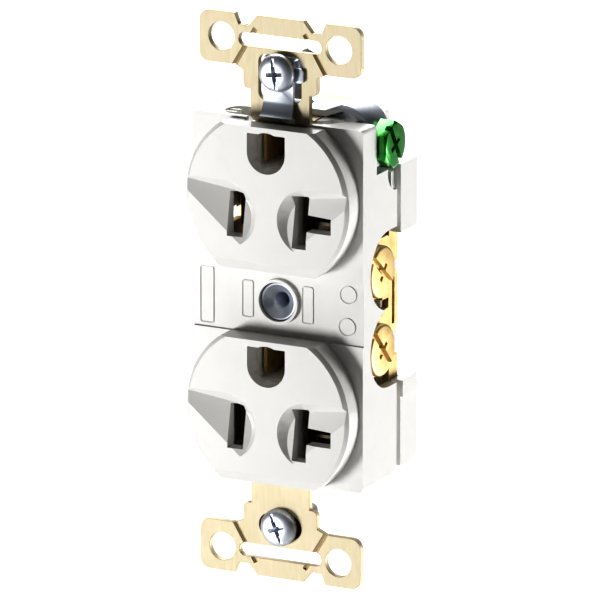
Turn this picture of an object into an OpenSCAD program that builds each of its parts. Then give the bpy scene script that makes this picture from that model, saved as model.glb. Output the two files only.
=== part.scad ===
// Duplex wall outlet: two grounded sockets in one moulded cover, on a wrap-around steel strap.
// X is to the right, Y goes back into the wall box and Z is up. The origin is on the axis of
// the wall-plate screw, on the front surface of the strap. All sizes are in millimetres.

/* [Cover] */
// Width of the moulded cover
cover_w = 33.8; // [32.6:0.1:40]
// Height of the moulded cover
cover_h = 66.1; // [65:0.1:78]
// Depth of the cover, from its plate to the parting line
cover_depth = 13.3; // [12:0.1:18]
// Height of the cover's plate in front of the strap
plate_rise = 1; // [1:0.1:2]
// Thickness of the cover's plate
plate_t = 2; // [1.5:0.1:3]
// Thickness of the cover's side walls
cover_wall = 1.8; // [1.2:0.1:2]

/* [Faces] */
// Distance between the centres of the two faces
face_pitch = 38.9; // [38:0.1:42]
// Diameter of a face across its round sides
face_d = 32.3; // [31:0.1:34]
// Height of a face between its two flats
face_flat = 26.4; // [25:0.1:28]
// Height of a face above the cover's plate
face_rise = 4.5; // [3.5:0.1:6.5]
// Thickness of a face's front wall
face_t = 2.8; // [2.4:0.1:3.2]
// Chamfer round the rim of a face
face_chamfer = 0.7; // [0.3:0.1:1]
// Width of the bevel along a face's lower flat
face_bevel = 2.3; // [1:0.1:3]

/* [Slots] */
// Distance between the two blade slots
blade_pitch = 12.7; // [12.2:0.1:13.4]
// Distance from the blade line up to the ground pin
ground_rise = 11.9; // [11.5:0.1:12.2]
// Distance from a face's centre down to its blade line
blade_drop = 3.3; // [3:0.1:3.6]
// Width of a blade slot
slot_w = 2.9; // [2.2:0.1:3.2]
// Height of the hot blade's slot
hot_slot_h = 7.9; // [6.8:0.1:8.5]
// Height of the neutral blade's slot
neutral_slot_h = 9.4; // [8.4:0.1:9.8]
// Reach of the neutral slot's side branch, from the blade line
branch_reach = 6.4; // [4.6:0.1:6.8]
// Width of the ground opening
ground_w = 7.5; // [6.4:0.1:7.8]
// Depth of a finger groove where it meets its slot
groove_depth = 1.7; // [1:0.1:2]

/* [Rear housing] */
// Depth of the rear housing behind the parting line
housing_depth = 8; // [7:0.1:12]
// Thickness of the rear housing's walls
housing_wall = 1.8; // [1.2:0.1:2]
// Width of the housing between the terminal recesses
waist_w = 25.6; // [24.6:0.1:26]

/* [Strap] */
// Thickness of the strap
strap_t = 1.2; // [0.9:0.05:1.5]
// Width of the strap where it wraps round the body
strap_w = 11.6; // [9:0.1:12]
// Length of the strap past each end of the cover
strap_out = 18.25; // [18.05:0.05:20]
// Distance from an end of the cover to its box screw
box_screw_out = 8.62; // [8.2:0.01:9]
// Distance from an end of the cover to its ear holes
ear_hole_out = 13.8; // [13.4:0.1:14.2]
// Distance between the two ear holes of one end
ear_hole_x = 23.1; // [22:0.1:26]
// Diameter of an ear hole
ear_hole_d = 5.2; // [4:0.1:6]
// Width of an ear
ear_w = 7.9; // [7.4:0.1:9]

/* [Screws] */
// Diameter of the box screws' thread
box_screw_d = 3.5; // [3:0.1:4]
// Diameter of a box screw's head
box_head_d = 6.9; // [6:0.1:7.5]
// Length of a box screw below its head
box_screw_l = 12.7; // [9:0.1:25.4]
// Diameter of the terminal screws' thread
terminal_screw_d = 4.8; // [4:0.1:5]
// Diameter of a terminal screw's head
terminal_head_d = 9.5; // [8:0.1:10]
// Height of a terminal screw's head
terminal_head_h = 1.9; // [1.4:0.1:2.2]
// Distance between the two terminal screws of one side
terminal_pitch = 14.3; // [13.6:0.1:15]
// Width of the ground screw's hexagon across its flats
ground_hex = 7.6; // [7:0.1:8.2]
// Height of the ground screw's head
ground_head_h = 3; // [2:0.1:3.2]

/* [Contacts] */
// Thickness of the contact leaves
leaf_t = 0.6; // [0.4:0.05:0.7]
// Thickness of a blade, which sets the gap between two leaves
blade_t = 1.5; // [1.2:0.1:1.6]
// Gap between the two leaves of a ground contact
ground_gap = 4.6; // [4.4:0.1:4.8]
// Thickness of the bus bars
bus_t = 1.3; // [1:0.1:1.5]

/* [Fits] */
// Radial clearance of a screw in its tapped or plain hole
thread_gap = 0.05; // [0.02:0.01:0.08]
// Clearance between fixed pieces that lie side by side
seat_gap = 0.1; // [0.05:0.01:0.2]
// Clearance round a head, a lug or a contact in its recess
recess_gap = 0.4; // [0.3:0.05:0.5]

/* [Hidden] */
$fn = 64;
eps = 0.01;
big = 200;

white = "white";
zinc_yellow = "moccasin";
steel = "lightsteelblue";
brass = "khaki";
nickel = "silver";

// Depths along Y
plate_y = -plate_rise;
face_y = plate_y - face_rise;
parting_y = plate_y + cover_depth;
housing_back = parting_y + housing_depth;
strap_back = housing_back + strap_t;
floor_y = housing_back - housing_wall;
plate_inner_y = plate_y + plate_t;
face_inner_y = face_y + face_t;
parting_groove = 1.5;
tongue_inset = 1.2;

// Heights along Z
run_top = cover_h / 2;
run_bottom = run_top - strap_t;
pocket_z = run_bottom - 0.9;
blade_z = [for (s = [1, -1]) s * face_pitch / 2 - blade_drop];
pin_z = [for (z = blade_z) z + ground_rise];
blade_x = blade_pitch / 2;

// Slope at the top of the finger grooves, from a face's centre
ramp_top = 2.9;
ramp_foot = 0.8;

// Inner pockets of the two mouldings
web_half = 4.2;
pocket_x = cover_w / 2 - cover_wall;
ground_pocket = 6.8;
face_pocket_r = face_d / 2 - cover_wall;

// Terminals on the two sides
terminal_z0 = -1.6;
terminal_y = plate_y + 8.1;
head_seat_x = cover_w / 2 - terminal_head_h;
bus_x = head_seat_x - seat_gap;
cutout_r = terminal_pitch / 2 + 0.05;
cutout_y = terminal_y - terminal_head_d / 2 - recess_gap + cutout_r;
recess_top = terminal_z0 + terminal_pitch / 2 + 5.65;
recess_bottom = terminal_z0 - terminal_pitch / 2 - cutout_r;
foot_h = 6;
foot_in = 2;
foot_back = floor_y - 1.9;
foot_y = foot_back - bus_t;
contact_y = foot_y - leaf_t;
fin_h = 11.9;
terminal_screw_l = 7.4;

// Ground terminal at the top right
ground_y = plate_y + 9.5;
ground_z = 28.7;
lug_t = 1.2;
lug_w = 7;
lug_r = 4.6;
lug_rise = 1.35;
lug_outer_x = cover_w / 2 - 1.4;
lug_top = run_top + seat_gap + lug_t + lug_rise;
collar_r = 3.4;
collar_h = 1.2;
hex_corners = ground_hex * 2 / sqrt(3);
notch_y = ground_y - ground_hex / 2 - recess_gap;
notch_z = ground_z - hex_corners / 2 - recess_gap;

// Strap bends and ends
bend = 0.6;
end_z = run_top + strap_out;
box_z = run_top + box_screw_out;
ear_z = run_top + ear_hole_out;
ear_x = ear_hole_x / 2;
ear_out = ear_x + ear_w - 3.5;
ear_in = ear_x - 4.65;
ear_root = ear_x - 2.55;
ear_low = ear_z - 4.8;
slot_low = ear_z - 1.3;
slot_high = slot_low + 2.5;
slot_half = ear_x - 3.35;
neck_half = ear_x - 4.25;
tab_half = 4.6;
tab_step = 1.2;
window_w = 8.5;
window_low = run_top + 3.2;
window_high = slot_low - 1;

// Fasteners
rivet_r = 1.2;
tube_r = 2.3;
tube_bore = box_screw_d / 2 + thread_gap;
tube_head_r = 3.4;
cup_y = plate_y + 0.3;
cup_t = 1;
head_t = 0.7;
post = [[-11, 27.3], [11, -29.4]];
post_r = 2.3;
self_tap_r = 1.2;
clip_t = 0.5;
clip_w = 6.4;
clip_back = 3.6;

// Extrudes an outline drawn in X and Z from y0 back to y1.
module plan(y0, y1) {
    translate([0, y1, 0]) rotate([90, 0, 0]) linear_extrude(y1 - y0) children();
}

// Extrudes an outline drawn in Y and Z from x0 to x1.
module side(x0, x1) {
    translate([x0, 0, 0]) rotate([90, 0, 90]) linear_extrude(x1 - x0) children();
}

// A box between two corners.
module block(low, high) {
    translate(low) cube(high - low);
}

// A rectangle between two corners, with rounded corners.
module round_rect(low, high, r) {
    translate([low[0] + r, low[1]]) square([high[0] - low[0] - 2 * r, high[1] - low[1]]);
    translate([low[0], low[1] + r]) square([high[0] - low[0], high[1] - low[1] - 2 * r]);
    for (x = [low[0] + r, high[0] - r], y = [low[1] + r, high[1] - r])
        translate([x, y]) circle(r);
}

// A rod along Y from y0 to y1.
module rod_y(x, z, r, y0, y1) {
    translate([x, y1, z]) rotate([90, 0, 0]) cylinder(r = r, h = y1 - y0);
}

// A rod along X from x0 to x1.
module rod_x(y, z, r, x0, x1) {
    translate([x0, y, z]) rotate([0, 90, 0]) cylinder(r = r, h = x1 - x0);
}

// The edge of a strip beside point i of its path, h to the left, with mitred bends.
function unit(v) = v / norm(v);
function left(v) = [-v[1], v[0]];
function strip_edge(path, i, h) =
    let (into = left(unit(path[max(i, 1)] - path[max(i, 1) - 1])),
        out = left(unit(path[min(i, len(path) - 2) + 1] - path[min(i, len(path) - 2)])),
        mitre = unit(into + out))
    path[i] + mitre * h / (mitre * into);

// A sheet-metal strip along a path of points in one plane, t thick and w wide.
module strip(path, t, w) {
    last = len(path) - 1;
    translate([0, 0, -w / 2]) linear_extrude(w) polygon([
        for (i = [0:last]) strip_edge(path, i, t / 2),
        for (i = [0:last]) strip_edge(path, last - i, -t / 2)]);
}

// Makes the right side's shape on the left side too.
module both_sides() {
    children();
    mirror([1, 0, 0]) children();
}

// ---- Front cover ----

// One face, from the plate to its front: a disc with two flats and a chamfered rim.
module face_blank(zc) {
    r = face_d / 2;
    translate([0, plate_y + eps, zc]) rotate([90, 0, 0]) intersection() {
        union() {
            cylinder(r = r, h = face_rise - face_chamfer + eps);
            translate([0, 0, face_rise - face_chamfer + eps])
                cylinder(r1 = r, r2 = r - face_chamfer, h = face_chamfer);
        }
        translate([-r, -face_flat / 2, -1]) cube([2 * r, face_flat, face_rise + 2]);
    }
}

// The long bevel that slopes a face's lower flat back.
module face_bevel_cut(zc) {
    translate([-big / 2, face_y, zc - face_flat / 2 + face_bevel])
        rotate([atan(0.9 / face_bevel), 0, 0])
            translate([0, -5, -2 * face_bevel]) cube([big, 5, 2 * face_bevel]);
}

// The finger groove round one slot: a cone-sided scoop that is deepest beside the slot and runs
// out towards the rim and towards the bottom; side is 1 for the right slot, -1 for the left.
module finger_groove(zc, side) {
    groove_r = 6.3;
    inner_x = 2;
    reach = face_d / 2 - inner_x - 1;
    mirror([side < 0 ? 1 : 0, 0, 0]) translate([inner_x, face_y, zc]) intersection() {
        union() {
            translate([groove_r, 0, -blade_drop]) rotate([-90, 0, 0]) {
                cylinder(r1 = groove_r, r2 = groove_r - 2.4, h = groove_depth + 0.5);
                translate([0, 0, -1]) cylinder(r = groove_r, h = 1 + eps);
            }
            translate([0, 0, -blade_drop]) side(groove_r, groove_r + reach)
                polygon([[-1, -groove_r], [0, -groove_r], [groove_depth + 0.5, 2.4 - groove_r],
                    [groove_depth + 0.5, groove_r - 2.4], [0, groove_r], [-1, groove_r]]);
        }
        // Floor
        translate([5, groove_depth, ramp_foot]) rotate([-atan(0.19), 0, -atan(0.18)])
            translate([-big / 2, -8, -big / 2]) cube([big, 8, big]);
        // Slope above the slot
        translate([-big / 2, 0, ramp_top]) rotate([-50, 0, 0])
            translate([0, -big / 2, -big]) cube([big, big, big]);
    }
}

// The part of a face below its crease, which leans back very slightly.
module face_lean(zc) {
    translate([-big / 2, face_y, zc + ramp_top]) rotate([1, 0, 0])
        translate([0, -5, -face_flat]) cube([big, 5, face_flat]);
}

// The straight slots of one face, drawn in X and Z round the blade line.
module slot_outline() {
    translate([-blade_x - slot_w / 2, -hot_slot_h / 2]) square([slot_w, hot_slot_h]);
    translate([blade_x - slot_w / 2, -neutral_slot_h / 2]) square([slot_w, neutral_slot_h]);
    translate([blade_x, -slot_w / 2]) square([branch_reach, slot_w]);
}

// The U-shaped ground opening, flat at the top.
module ground_outline() {
    circle(d = ground_w);
    translate([-ground_w / 2, 0]) square([ground_w, 3.4]);
}

// The hollow that holds the contacts behind one face.
module face_pocket(zc, zb, zp) {
    for (s = [1, -1])
        plan(face_inner_y, plate_inner_y + eps) intersection() {
            translate([0, zc]) circle(face_pocket_r);
            translate([s > 0 ? web_half : -web_half - pocket_x, zb - 5.8])
                square([pocket_x, 11.6]);
        }
    plan(face_inner_y, parting_y + 1) ground_pocket_outline(zp);
}

module ground_pocket_outline(zp) {
    translate([-ground_pocket / 2, zp - 3.4]) square([ground_pocket, 6.8]);
}

// The round cut-outs that leave room for one side's terminal screws.
module terminal_cutouts() {
    for (s = [1, -1])
        translate([0, 0, terminal_z0 + s * terminal_pitch / 2]) {
            rod_x(cutout_y, 0, cutout_r, pocket_x - 1, cover_w);
            block([pocket_x - 1, cutout_y, -cutout_r], [cover_w, parting_y + 1, cutout_r]);
        }
}

// Shallow recesses in the top wall, one on each side of the strap.
module top_recesses() {
    floor_z = run_top - 1.5;
    edge = strap_w / 2 + recess_gap - eps;
    // Half-round recess with two ribs, left of the strap
    difference() {
        union() {
            translate([-edge - 3, 2.8, floor_z]) cylinder(r = 2.8, h = 2);
            block([-edge - 3, 0, floor_z], [-edge, 5.6, run_top + 1]);
        }
        for (y = [1.7, 3.4])
            block([-edge - 6, y, floor_z - 1], [-edge - 3.4, y + 0.7, run_top - 0.2]);
    }
    // Curved recess in front of the lug, right of the strap
    difference() {
        translate([edge, notch_y, floor_z]) cylinder(r = 4.4, h = 2);
        translate([edge, notch_y, floor_z - 1]) cylinder(r = 2.1, h = 4);
        block([0, -5, floor_z - 1], [edge, 12, run_top + 2]);
        block([edge, notch_y, floor_z - 1], [cover_w, 12, run_top + 2]);
    }
}

module front_cover() {
    color(white) difference() {
        union() {
            plan(plate_y, parting_y)
                round_rect([-cover_w / 2, -cover_h / 2], [cover_w / 2, cover_h / 2], 0.8);
            for (s = [1, -1]) face_blank(s * face_pitch / 2);
            rod_y(0, 0, 4.1, plate_y - 0.3, 0);
        }
        // Side pockets, with a solid web between them
        difference() {
            both_sides()
                block([web_half, plate_inner_y, -pocket_z], [pocket_x, parting_y + 1, pocket_z]);
            for (p = post) rod_y(p[0], p[1], post_r, 0, parting_y);
        }
        for (i = [0, 1]) {
            zc = (i == 0 ? 1 : -1) * face_pitch / 2;
            face_pocket(zc, blade_z[i], pin_z[i]);
            face_bevel_cut(zc);
            face_lean(zc);
            finger_groove(zc, 1);
            finger_groove(zc, -1);
            translate([0, 0, blade_z[i]]) plan(face_y - 1, face_inner_y + 1) slot_outline();
            translate([0, 0, pin_z[i]]) plan(face_y - 1, face_inner_y + 1) ground_outline();
        }
        // Centre tube and its cup
        rod_y(0, 0, tube_r + seat_gap, plate_y - 1, parting_y + 1);
        rod_y(0, 0, tube_head_r + 0.2, plate_y - 1, cup_y + cup_t);
        // Shallow band between the faces
        translate([0, 0, -0.7]) difference() {
            block([-cover_w, plate_y - 0.2, -5.6], [cover_w, plate_y + 0.4, 5.6]);
            rod_y(0, 0.7, 4.1, plate_y - 1, 1);
        }
        // Channels for the strap at the top and the bottom
        for (s = [0, 1]) mirror([0, 0, s])
            block([-strap_w / 2 - recess_gap, plate_y - 1, run_bottom - seat_gap],
                [strap_w / 2 + recess_gap, parting_y + 1, run_top + 1]);
        top_recesses();
        // Room for the lug's rivet
        translate([0, ground_y, run_bottom - 1]) cylinder(r = 2.6, h = 3);
        // Terminal screws, and the ground screw with its lug at the top right
        both_sides() terminal_cutouts();
        block([lug_outer_x - lug_t - 1.7, notch_y, notch_z],
            [cover_w, parting_y + 1, run_top + 1]);
        rod_x(ground_y, ground_z, collar_r + recess_gap,
            lug_outer_x - lug_t - collar_h - recess_gap, cover_w);
        rod_x(ground_y, ground_z, terminal_screw_d / 2 + recess_gap,
            lug_outer_x - terminal_screw_l - recess_gap, cover_w);
        side(pocket_x, cover_w / 2 + 1) translate([parting_y, notch_z - 0.8]) {
            circle(r = 3.6);
            translate([-3.6, 0]) square([4, 0.8 + eps]);
        }
        for (p = post) rod_y(p[0], p[1], self_tap_r + thread_gap, plate_inner_y + 2, parting_y + 1);
    }
}

// ---- Rear housing ----

// Outline of the housing in X and Z, smaller all round by inset.
module housing_outline(inset) {
    w = cover_w / 2 - inset;
    top = run_bottom - seat_gap;
    difference() {
        union() {
            translate([-waist_w / 2, -top]) square([waist_w, 2 * top]);
            for (s = [0, 1]) mirror([s, 0]) {
                translate([0, -top]) square([w, top + recess_bottom - inset]);
                translate([0, recess_top + inset]) square([w, top - recess_top - inset]);
            }
        }
        translate([lug_outer_x - 4, notch_z - 0.2 - inset]) square([10, 20]);
    }
}

// Pockets of the housing for the contacts and the bus bars, in X and Z.
module housing_pockets() {
    for (s = [0, 1]) mirror([s, 0]) {
        translate([web_half, -pocket_z])
            square([waist_w / 2 - housing_wall - web_half, pocket_z + notch_z - housing_wall]);
        translate([web_half, -pocket_z])
            square([pocket_x - web_half, pocket_z + recess_bottom - housing_wall]);
        translate([web_half, recess_top + housing_wall])
            square([pocket_x - web_half, notch_z - recess_top - 2 * housing_wall]);
    }
    for (z = pin_z) ground_pocket_outline(z);
}

module rear_housing() {
    color(white) difference() {
        union() {
            plan(parting_y, parting_y + parting_groove + eps) housing_outline(tongue_inset);
            plan(parting_y + parting_groove, housing_back) housing_outline(0);
            // Ledge under the lower terminal
            both_sides() side(cover_w / 2 - 2.4, cover_w / 2 + 0.5)
                translate([parting_y + parting_groove, recess_bottom - 3])
                    polygon([[0, 0], [6, 0], [6, 1.4], [3.4, 3], [0, 3]]);
        }
        difference() {
            plan(parting_y - 1, floor_y) housing_pockets();
            for (p = post) rod_y(p[0], p[1], post_r, parting_y, housing_back);
        }
        // Ways for the bus bars through the walls beside the waist
        both_sides()
            block([bus_x - bus_t - seat_gap * 2, parting_y - 1, recess_bottom - housing_wall - 1],
                [bus_x + seat_gap, foot_back + seat_gap, recess_bottom + 1]);
        both_sides()
            block([bus_x - bus_t - seat_gap * 2, parting_y - 1, recess_top - 1],
                [bus_x + seat_gap, foot_back + seat_gap, recess_top + housing_wall + 1]);
        both_sides() for (z = blade_z)
            block([blade_x - foot_in - seat_gap, parting_y - 1, z - foot_h / 2 - seat_gap],
                [bus_x + seat_gap, foot_back + seat_gap, z + foot_h / 2 + seat_gap]);
        // Back edges, cut back inside the strap's bends
        for (s = [1, -1]) translate([0, housing_back, s * (run_bottom - seat_gap)])
            rotate([45, 0, 0]) cube([big, bend * 1.7, bend * 1.7], center = true);
        rod_y(0, 0, tube_r + seat_gap, parting_y - 1, housing_back + 1);
        for (z = pin_z) rod_y(0, z, rivet_r + seat_gap, floor_y - 1, housing_back + 1);
        for (p = post) {
            rod_y(p[0], p[1], self_tap_r + 0.3, parting_y - 1, housing_back + 1);
            rod_y(p[0], p[1], 2.9, housing_back - 1.2, housing_back + 1);
        }
    }
}

// ---- Strap and ground path ----

// The break-off ears, the end tab and the body of one strap end, drawn in X and Z.
module strap_end_outline() {
    difference() {
        union() {
            translate([-strap_w / 2, run_top + bend - eps])
                square([strap_w, box_z - run_top - bend]);
            round_rect([-neck_half, run_top + 4.9], [neck_half, box_z + 1.5], 1);
            polygon([[-neck_half, ear_low - 0.8], [-ear_root, ear_low], [-ear_in, slot_low + eps],
                [ear_in, slot_low + eps], [ear_root, ear_low], [neck_half, ear_low - 0.8]]);
            for (s = [0, 1]) mirror([s, 0]) difference() {
                round_rect([ear_in, ear_low], [ear_out, end_z], 1.8);
                polygon([[ear_in - 1, ear_low - 1], [ear_root, ear_low], [ear_in, slot_low],
                    [ear_in - 1, slot_low]]);
                // Slanted side of the ear beside the end tab
                polygon([[ear_in - 1, slot_high + 1.3], [ear_root - 0.8, slot_high + 1.3],
                    [ear_root + 0.4, end_z + 1], [ear_in - 1, end_z + 1]]);
            }
            // End tab
            for (s = [0, 1]) mirror([s, 0]) polygon([[0, slot_high - eps],
                [slot_half - 0.2, slot_high - eps], [slot_half - 0.2, slot_high + tab_step],
                [tab_half + 1.7, slot_high + tab_step], [tab_half, end_z], [0, end_z]]);
        }
        round_rect([-slot_half, slot_low], [slot_half, slot_high], (slot_high - slot_low) / 2 - eps);
        for (s = [-1, 1]) translate([s * ear_x, ear_z]) circle(d = ear_hole_d);
    }
}

// V grooves pressed into the front of an end, where its ears snap off.
module score_lines() {
    for (s = [0, 1]) mirror([s, 0, 0])
        translate([(ear_root + ear_in) / 2, 0, (ear_low + slot_low) / 2])
            rotate([0, atan2(ear_root - ear_in, ear_low - slot_low), 0]) rotate([0, 0, 45])
                cube([0.6, 0.6, 12], center = true);
}

// The strap's path round the body, seen from the side: in from the top end, down the back and
// out to the bottom end.
module wrap_outline() {
    outer = bend + strap_t;
    difference() {
        round_rect([0, -run_top], [strap_back, run_top], outer);
        round_rect([-outer, -run_bottom], [housing_back, run_bottom], bend);
        translate([-1, -big / 2]) square([outer + 1, big]);
    }
    for (s = [0, 1]) mirror([0, s]) translate([outer, run_top + bend]) intersection() {
        difference() {
            circle(outer);
            circle(bend);
        }
        translate([-outer, -outer]) square(outer);
    }
}

module mounting_strap() {
    color(zinc_yellow) difference() {
        union() {
            side(-strap_w / 2, strap_w / 2) wrap_outline();
            plan(0, strap_t) strap_end_outline();
            plan(0, strap_t) mirror([0, 1]) strap_end_outline();
        }
        plan(-1, strap_t + 1)
            round_rect([-window_w / 2, window_low], [window_w / 2, window_high], 1.4);
        plan(-1, strap_t + 1)
            round_rect([-window_w / 2, -box_z - 2.2], [window_w / 2, -box_z + 2.2], 2.19);
        score_lines();
        mirror([0, 0, 1]) score_lines();
        rod_y(0, 0, tube_r + seat_gap, housing_back - 1, strap_back + 1);
        for (z = pin_z) rod_y(0, z, rivet_r + seat_gap, housing_back - 1, strap_back + 1);
        translate([0, ground_y, run_bottom - 1]) cylinder(r = rivet_r + seat_gap, h = 4);
    }
}

// Curved steel lug that carries the ground screw on the right side.
module ground_lug() {
    z0 = run_top + seat_gap;
    cx = lug_outer_x - lug_r - lug_t;
    cz = lug_top - lug_r - lug_t;
    ramp_x = cx - 3.4;
    color(steel) difference() {
        translate([0, ground_y - lug_w / 2, 0]) union() {
            block([-strap_w / 2, 0, z0], [ramp_x + 0.3, lug_w, z0 + lug_t]);
            translate([0, lug_w, 0]) rotate([90, 0, 0]) linear_extrude(lug_w)
                polygon([[ramp_x, z0], [ramp_x, z0 + lug_t], [cx, lug_top],
                    [cx, lug_top - lug_t]]);
            translate([cx, 0, cz]) rotate([-90, 0, 0]) rotate([0, 0, -90])
                rotate_extrude(angle = 90) translate([lug_r, 0]) square([lug_t, lug_w]);
            block([cx + lug_r, 0, notch_z + 0.6], [cx + lug_r + lug_t, lug_w, cz]);
            rod_x(lug_w / 2, ground_z, collar_r, cx + lug_r - collar_h, cx + lug_r + eps);
        }
        rod_x(ground_y, ground_z, terminal_screw_d / 2 + thread_gap, 5, cover_w);
        translate([0, ground_y, run_top - 1]) cylinder(r = rivet_r + seat_gap, h = 5);
    }
}

module lug_rivet() {
    top = run_top + seat_gap + lug_t;
    color(steel) translate([0, ground_y, 0]) {
        translate([0, 0, run_bottom]) cylinder(r = rivet_r, h = top - run_bottom);
        translate([0, 0, top]) cylinder(r1 = 2.2, r2 = 1.5, h = head_t);
        translate([0, 0, run_bottom - head_t]) cylinder(r1 = 1.6, r2 = 2.1, h = head_t);
    }
}

// Spring steel strip that keeps the upper box screw grounded to the strap.
module self_grounding_clip() {
    front = -0.1 - clip_t / 2;
    top = window_high - clip_t / 2 - 0.2;
    path = [[front - 0.35, run_top - 0.2], [front - 0.6, run_top + 0.5],
        [front, run_top + 2.9], [front, top], [clip_back, top], [clip_back, box_z - 2.9]];
    color(steel) difference() {
        rotate([90, 0, 90]) strip(path, clip_t, clip_w);
        rod_y(0, box_z, box_screw_d / 2 + recess_gap, -2, 1);
        rod_y(0, box_z, box_screw_d / 2 + thread_gap, 1, clip_back + 2);
    }
}

// ---- Screws, washers and rivets ----

// A cross recess of depth d, drawn along -Z from the origin.
module cross_recess(size, d) {
    for (a = [0, 90]) rotate([0, 0, a])
        translate([-size / 2, -size / 9, -d]) cube([size, size / 4.5, d + 1]);
}

// A box screw whose head rests on the plane y = seat.
module box_screw(z, seat) {
    r = box_head_d / 2;
    translate([0, seat, z]) rotate([90, 0, 0]) {
        difference() {
            union() {
                cylinder(r = r, h = 1);
                translate([0, 0, 1]) cylinder(r1 = r, r2 = r * 0.72, h = 0.9);
            }
            translate([0, 0, 1.9]) cross_recess(3.8, 1.3);
        }
        translate([0, 0, -box_screw_l + 0.8]) cylinder(d = box_screw_d, h = box_screw_l - 0.8);
        translate([0, 0, -box_screw_l])
            cylinder(r1 = box_screw_d / 2 - 0.7, r2 = box_screw_d / 2, h = 0.8);
    }
}

module upper_box_screw() {
    color(nickel) box_screw(box_z, -0.1 - clip_t - 0.02);
}

module lower_box_screw() {
    color(nickel) box_screw(-box_z, -0.02);
}

// Fibre washer that keeps the lower box screw from falling out.
module lower_screw_washer() {
    color("sienna") difference() {
        plan(strap_t + 0.05, strap_t + 0.85)
            translate([0, -box_z]) square([9.6, 6.4], center = true);
        rod_y(0, -box_z, box_screw_d / 2 + thread_gap, 0, strap_t + 2);
    }
}

// Threaded tube that holds the two mouldings and the strap together.
module center_rivet() {
    color(nickel) difference() {
        union() {
            rod_y(0, 0, tube_r, cup_y, strap_back);
            rod_y(0, 0, tube_head_r, cup_y, cup_y + cup_t);
            rod_y(0, 0, tube_head_r - 0.2, strap_back, strap_back + head_t);
        }
        rod_y(0, 0, tube_bore, plate_y - 2, strap_back + 2);
        translate([0, cup_y - eps, 0]) rotate([-90, 0, 0])
            cylinder(r1 = tube_head_r - 0.6, r2 = tube_bore, h = eps - cup_y);
    }
}

// A terminal screw on the right side at height z.
module terminal_screw(z) {
    r = terminal_head_d / 2;
    translate([head_seat_x, terminal_y, z]) rotate([0, 90, 0]) {
        difference() {
            union() {
                cylinder(r = r, h = terminal_head_h - 0.5);
                translate([0, 0, terminal_head_h - 0.5]) cylinder(r1 = r, r2 = r - 0.8, h = 0.5);
            }
            translate([-r - 1, -0.65, terminal_head_h - 1]) cube([2 * r + 2, 1.3, 2]);
            translate([0, 0, terminal_head_h]) cross_recess(5, 1.3);
        }
        translate([0, 0, -terminal_screw_l])
            cylinder(d = terminal_screw_d, h = terminal_screw_l);
    }
}

module neutral_screw_upper() {
    color(brass) terminal_screw(terminal_z0 + terminal_pitch / 2);
}

module neutral_screw_lower() {
    color(brass) terminal_screw(terminal_z0 - terminal_pitch / 2);
}

module line_screw_upper() {
    color(nickel) mirror([1, 0, 0]) terminal_screw(terminal_z0 + terminal_pitch / 2);
}

module line_screw_lower() {
    color(nickel) mirror([1, 0, 0]) terminal_screw(terminal_z0 - terminal_pitch / 2);
}

module ground_screw() {
    x0 = lug_outer_x + 0.02;
    color("forestgreen") translate([x0, ground_y, ground_z]) rotate([0, 90, 0]) {
        difference() {
            intersection() {
                cylinder(d = hex_corners, h = ground_head_h, $fn = 6);
                union() {
                    cylinder(d = hex_corners, h = ground_head_h - 0.6);
                    translate([0, 0, ground_head_h - 0.6])
                        cylinder(d1 = hex_corners, d2 = ground_hex - 0.4, h = 0.6);
                }
            }
            translate([-6, -0.65, ground_head_h - 1.2]) cube([12, 1.3, 2]);
            translate([0, 0, ground_head_h]) cross_recess(5, 1.6);
        }
        translate([0, 0, -terminal_screw_l]) cylinder(d = terminal_screw_d, h = terminal_screw_l + eps);
    }
}

module housing_screws() {
    color(nickel) for (p = post) {
        rod_y(p[0], p[1], self_tap_r, plate_inner_y + 2.5, housing_back);
        difference() {
            rod_y(p[0], p[1], 2.6, housing_back - 1.15, housing_back + 0.2);
            translate([p[0], housing_back + 0.2, p[1]]) rotate([-90, 0, 0]) cross_recess(3, 0.9);
        }
    }
}

// ---- Contacts ----

// Right side's bus bar: two terminal plates joined by the break-off fin, and two feet.
module bus_bar() {
    arm_h = 3.4;
    plate_front = terminal_y - 3.8;
    difference() {
        union() {
            side(bus_x - bus_t, bus_x) {
                for (s = [1, -1]) translate([0, terminal_z0 + s * (terminal_pitch / 2)])
                    round_rect([plate_front, -5.3], [foot_back - 3, 5.3], 1.5);
                translate([0, terminal_z0])
                    round_rect([foot_back - 6, -fin_h / 2], [foot_back, fin_h / 2], 2);
                translate([foot_back - arm_h, blade_z[1] - foot_h / 2])
                    square([arm_h, terminal_z0 - terminal_pitch / 2 - blade_z[1]]);
                translate([foot_back - arm_h, terminal_z0 + terminal_pitch / 2])
                    square([arm_h, blade_z[0] + foot_h / 2 - terminal_z0 - terminal_pitch / 2]);
            }
            for (z = blade_z)
                block([blade_x - foot_in, foot_y, z - foot_h / 2],
                    [bus_x, foot_back, z + foot_h / 2]);
            for (s = [1, -1])
                rod_x(terminal_y, terminal_z0 + s * terminal_pitch / 2, 3.4,
                    bus_x - bus_t - 1.3, bus_x - bus_t + eps);
        }
        // Gap and score slot that make the two halves part at the fin
        block([0, 0, terminal_z0 - 0.9], [cover_w, foot_back - 3.6, terminal_z0 + 0.9]);
        block([0, foot_back - 2.2, terminal_z0 - 4.3], [cover_w, foot_back - 1.2, terminal_z0 + 4.3]);
        for (s = [1, -1])
            rod_x(terminal_y, terminal_z0 + s * terminal_pitch / 2,
                terminal_screw_d / 2 + thread_gap, 5, cover_w);
        for (z = blade_z) rod_y(blade_x, z, rivet_r + seat_gap, foot_y - 1, foot_back + 1);
    }
}

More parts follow.
